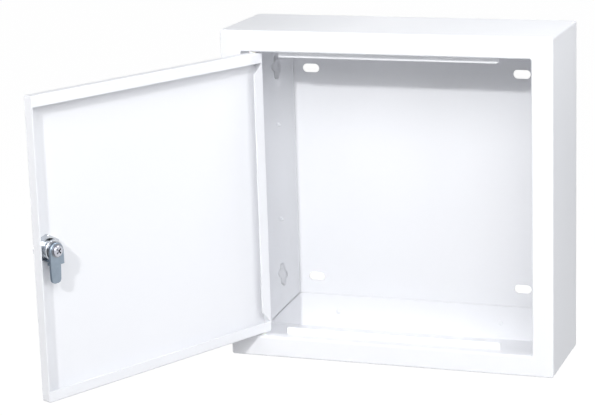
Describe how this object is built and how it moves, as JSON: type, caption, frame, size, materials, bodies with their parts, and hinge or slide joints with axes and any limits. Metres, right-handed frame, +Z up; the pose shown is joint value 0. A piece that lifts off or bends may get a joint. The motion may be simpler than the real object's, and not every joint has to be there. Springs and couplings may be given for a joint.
{
  "type": "steel wall enclosure",
  "caption": "Wall-mounted steel enclosure with a folded casing, framed doorway, inset hinged door with a cam lock, slotted back panel and door stop strips.",
  "frame": {"origin": "centre of the four wall slots, in the plane of the wall", "axes": "+X right, +Y into the wall and -Y out through the doorway, +Z up"},
  "size_m": [0.384, 0.3236, 0.3],
  "materials": {
    "powder_coat": "satin powder coat with a fine orange-peel grain",
    "zinc": "bright zinc-plated die casting",
    "bright_steel": "turned and zinc-plated steel",
    "dark_steel": "phosphated spring steel",
    "blue_zinc": "blue-passivated zinc plate on pressed steel",
    "nylon": "matte natural nylon"
  },
  "bodies": {
    "housing": {"casing": "powder_coat", "back_panel": "powder_coat", "stop_strip_top": "powder_coat", "stop_strip_bottom": "powder_coat", "hinge_pin_top": "bright_steel", "hinge_pin_bottom": "bright_steel", "hinge_washer_bottom": "nylon"},
    "door": {"door": "powder_coat", "hinge_washer_top": "nylon", "lock_body": "zinc", "lock_washer": "zinc", "lock_nut": "zinc"},
    "lock_rotor": {"lock_plug": "zinc", "lock_wafers": "bright_steel", "cam_stop": "dark_steel", "lock_cam": "blue_zinc", "cam_washer": "dark_steel", "cam_screw": "bright_steel"}
  },
  "joints": [
    {"name": "door_hinge", "type": "hinge", "parent": "housing", "child": "door", "pos_m": [-0.1215, -0.0943, 0], "axis": [0, 0, 1], "range_deg": [-2.4, 115.4]},
    {"name": "cam_turn", "type": "hinge", "parent": "door", "child": "lock_rotor", "pos_m": [-0.2275, -0.30814, 0], "axis": [-0.9063, 0.4226, 0], "range_deg": [0, 90]}
  ]
}
